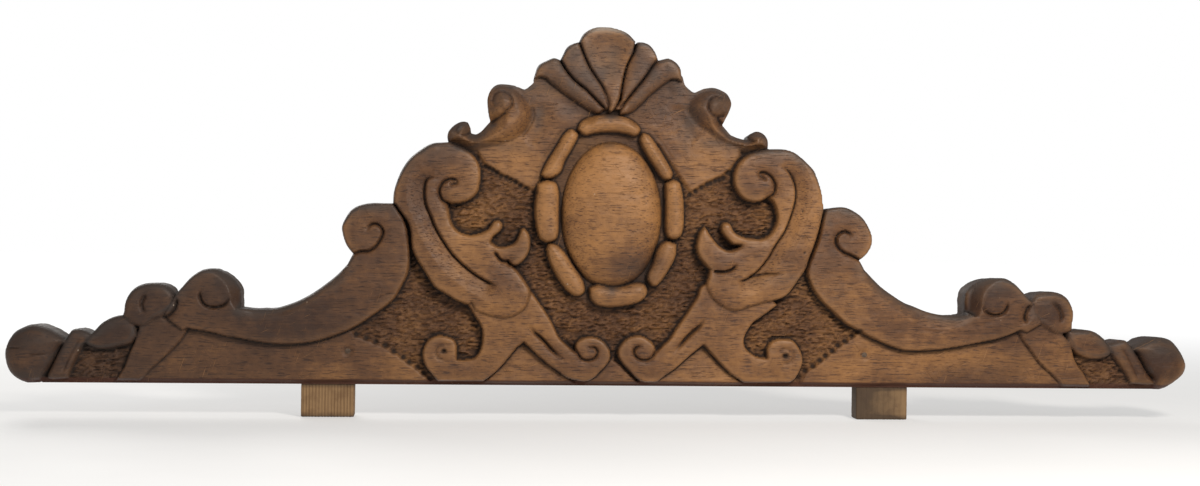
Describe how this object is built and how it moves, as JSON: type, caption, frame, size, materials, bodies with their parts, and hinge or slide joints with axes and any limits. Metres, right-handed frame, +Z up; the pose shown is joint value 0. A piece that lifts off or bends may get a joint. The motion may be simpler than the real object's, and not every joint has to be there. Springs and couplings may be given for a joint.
{
  "type": "carved wooden bed head crest",
  "caption": "Carved wooden pediment crest for a bed head: scallop shell, beaded oval cabochon and mirrored scrolls in relief on edge-glued planks, with short loose tenons below.",
  "frame": {"origin": "centre of the footprint, at the height of the feet of the two tenons", "axes": "+X along the crest to the viewer's right, +Y towards the flat back, so the carved front faces -Y, +Z up"},
  "size_m": [1, 0.042, 0.3315],
  "materials": {
    "walnut": "old, hand carved, worn dark finish",
    "softwood": "bare, rough sawn",
    "beech": "bare"
  },
  "bodies": {
    "root": {"base_plank": "walnut", "middle_plank": "walnut", "crown_plank": "walnut", "tenon_left": "softwood", "tenon_right": "softwood", "tenon_peg_left": "beech", "tenon_peg_right": "beech", "lower_dowel_1": "beech", "lower_dowel_2": "beech", "lower_dowel_3": "beech", "lower_dowel_4": "beech", "upper_dowel_1": "beech", "upper_dowel_2": "beech", "upper_dowel_3": "beech"}
  },
  "joints": []
}
